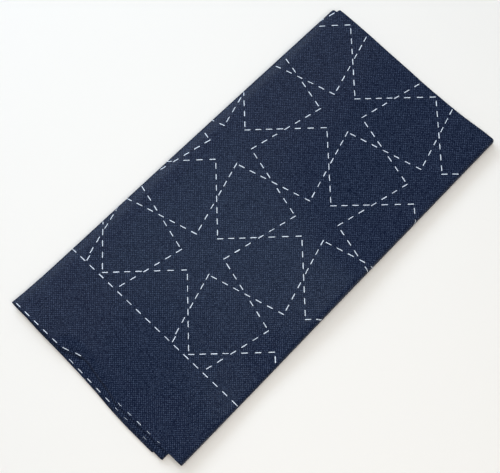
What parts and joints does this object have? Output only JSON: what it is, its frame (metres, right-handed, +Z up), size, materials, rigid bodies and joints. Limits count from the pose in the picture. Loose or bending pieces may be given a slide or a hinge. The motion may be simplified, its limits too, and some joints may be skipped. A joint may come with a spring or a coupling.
{
  "type": "folded sashiko sampler cloth",
  "caption": "Square navy cotton sampler cloth with white printed sashiko dashes, folded flat into a long thin packet of doubled layers.",
  "frame": {"origin": "bottom centre of the folded packet, on the surface it lies on", "axes": "+X across the packet to the side with the thick fold, +Y along it to the folded far end, +Z up"},
  "size_m": [0.0902, 0.1754, 0.0062],
  "materials": {
    "navy_cotton": "piece-dyed navy cotton in a fine plain weave, dull, printed with short white dashes"
  },
  "bodies": {
    "root": {"folded_cloth": "navy_cotton"}
  },
  "joints": []
}
